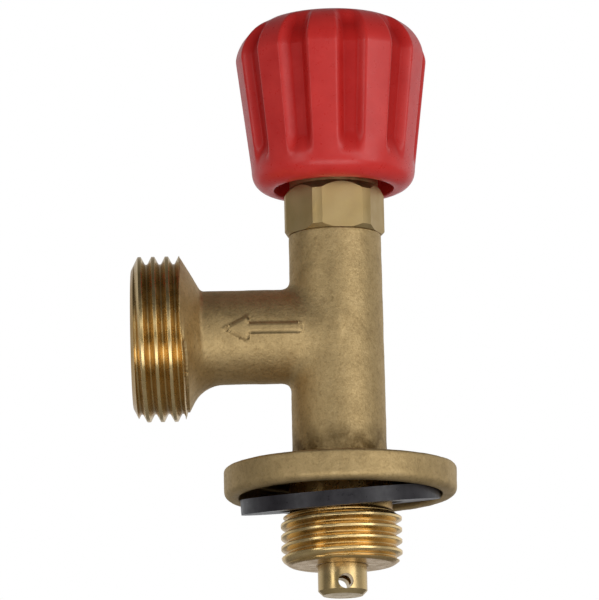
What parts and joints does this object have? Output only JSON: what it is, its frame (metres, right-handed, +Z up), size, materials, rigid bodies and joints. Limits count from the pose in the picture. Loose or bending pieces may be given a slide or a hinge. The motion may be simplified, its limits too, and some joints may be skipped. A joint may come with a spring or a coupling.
{
  "type": "gas cylinder shut-off valve",
  "caption": "Brass angle shut-off valve with a fluted red handwheel, a threaded bottom spigot with an actuating pin and a left-hand threaded side outlet.",
  "frame": {"origin": "centre of the flange's underside, on the spindle axis, where the valve seats on the cylinder", "axes": "+Z up the spindle towards the handwheel, the outlet points along -X"},
  "size_m": [0.0426, 0.0308, 0.0781],
  "materials": {
    "forged_brass": "forged and blasted, threads machined bright",
    "turned_brass": "turned, satin bright",
    "black_rubber": "matte moulded rubber",
    "seat_rubber": "smooth nitrile rubber",
    "white_nylon": "turned nylon",
    "red_plastic": "moulded, soft gloss",
    "plated_steel": "zinc plated"
  },
  "bodies": {
    "valve": {"valve_body": "forged_brass", "actuating_pin": "turned_brass", "base_gasket": "black_rubber", "gland_seal": "white_nylon", "gland_nut": "turned_brass"},
    "spindle": {"upper_spindle": "turned_brass", "thrust_washer": "white_nylon", "spindle_ring_lower": "seat_rubber", "spindle_ring_upper": "seat_rubber", "handwheel": "red_plastic", "handwheel_insert": "turned_brass", "handwheel_washer": "plated_steel", "spring_washer": "plated_steel", "handwheel_screw": "plated_steel"},
    "plug": {"spindle_plug": "turned_brass", "seat_disc": "seat_rubber", "seat_screw": "turned_brass"}
  },
  "joints": [
    {"name": "knob_turn", "type": "hinge", "parent": "valve", "child": "spindle", "pos_m": [0, 0, 0.0302], "axis": [0, 0, 1], "range_deg": [0, 720]},
    {"name": "plug_travel", "type": "slide", "parent": "spindle", "child": "plug", "axis": [0, 0, 1], "range_m": [0, 0.0021]}
  ],
  "couplings": [
    {"joint": "plug_travel", "follows": "knob_turn", "m_per_rad": 0.00015915}
  ]
}
